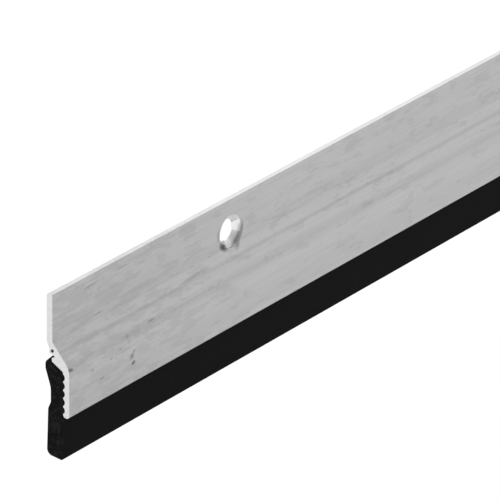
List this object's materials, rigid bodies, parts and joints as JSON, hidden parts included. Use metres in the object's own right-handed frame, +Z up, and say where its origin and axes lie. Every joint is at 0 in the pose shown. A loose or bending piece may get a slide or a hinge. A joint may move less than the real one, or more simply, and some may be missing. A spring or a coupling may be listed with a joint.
{
  "type": "door bottom seal",
  "caption": "Screw-on door bottom seal: stepped aluminium strip with countersunk holes, and a rubber blade behind its lower part that closes the gap under the door.",
  "frame": {"origin": "in the middle of the row of screw holes, in the plane of the upper flange's back, which lies on the door", "axes": "+X along the strip, +Y towards the door, +Z up"},
  "size_m": [0.9144, 0.0064, 0.038],
  "materials": {
    "aluminium": "satin mill finish",
    "rubber": "matt black"
  },
  "bodies": {
    "root": {"carrier_strip": "aluminium", "rubber_blade": "rubber"}
  },
  "joints": []
}
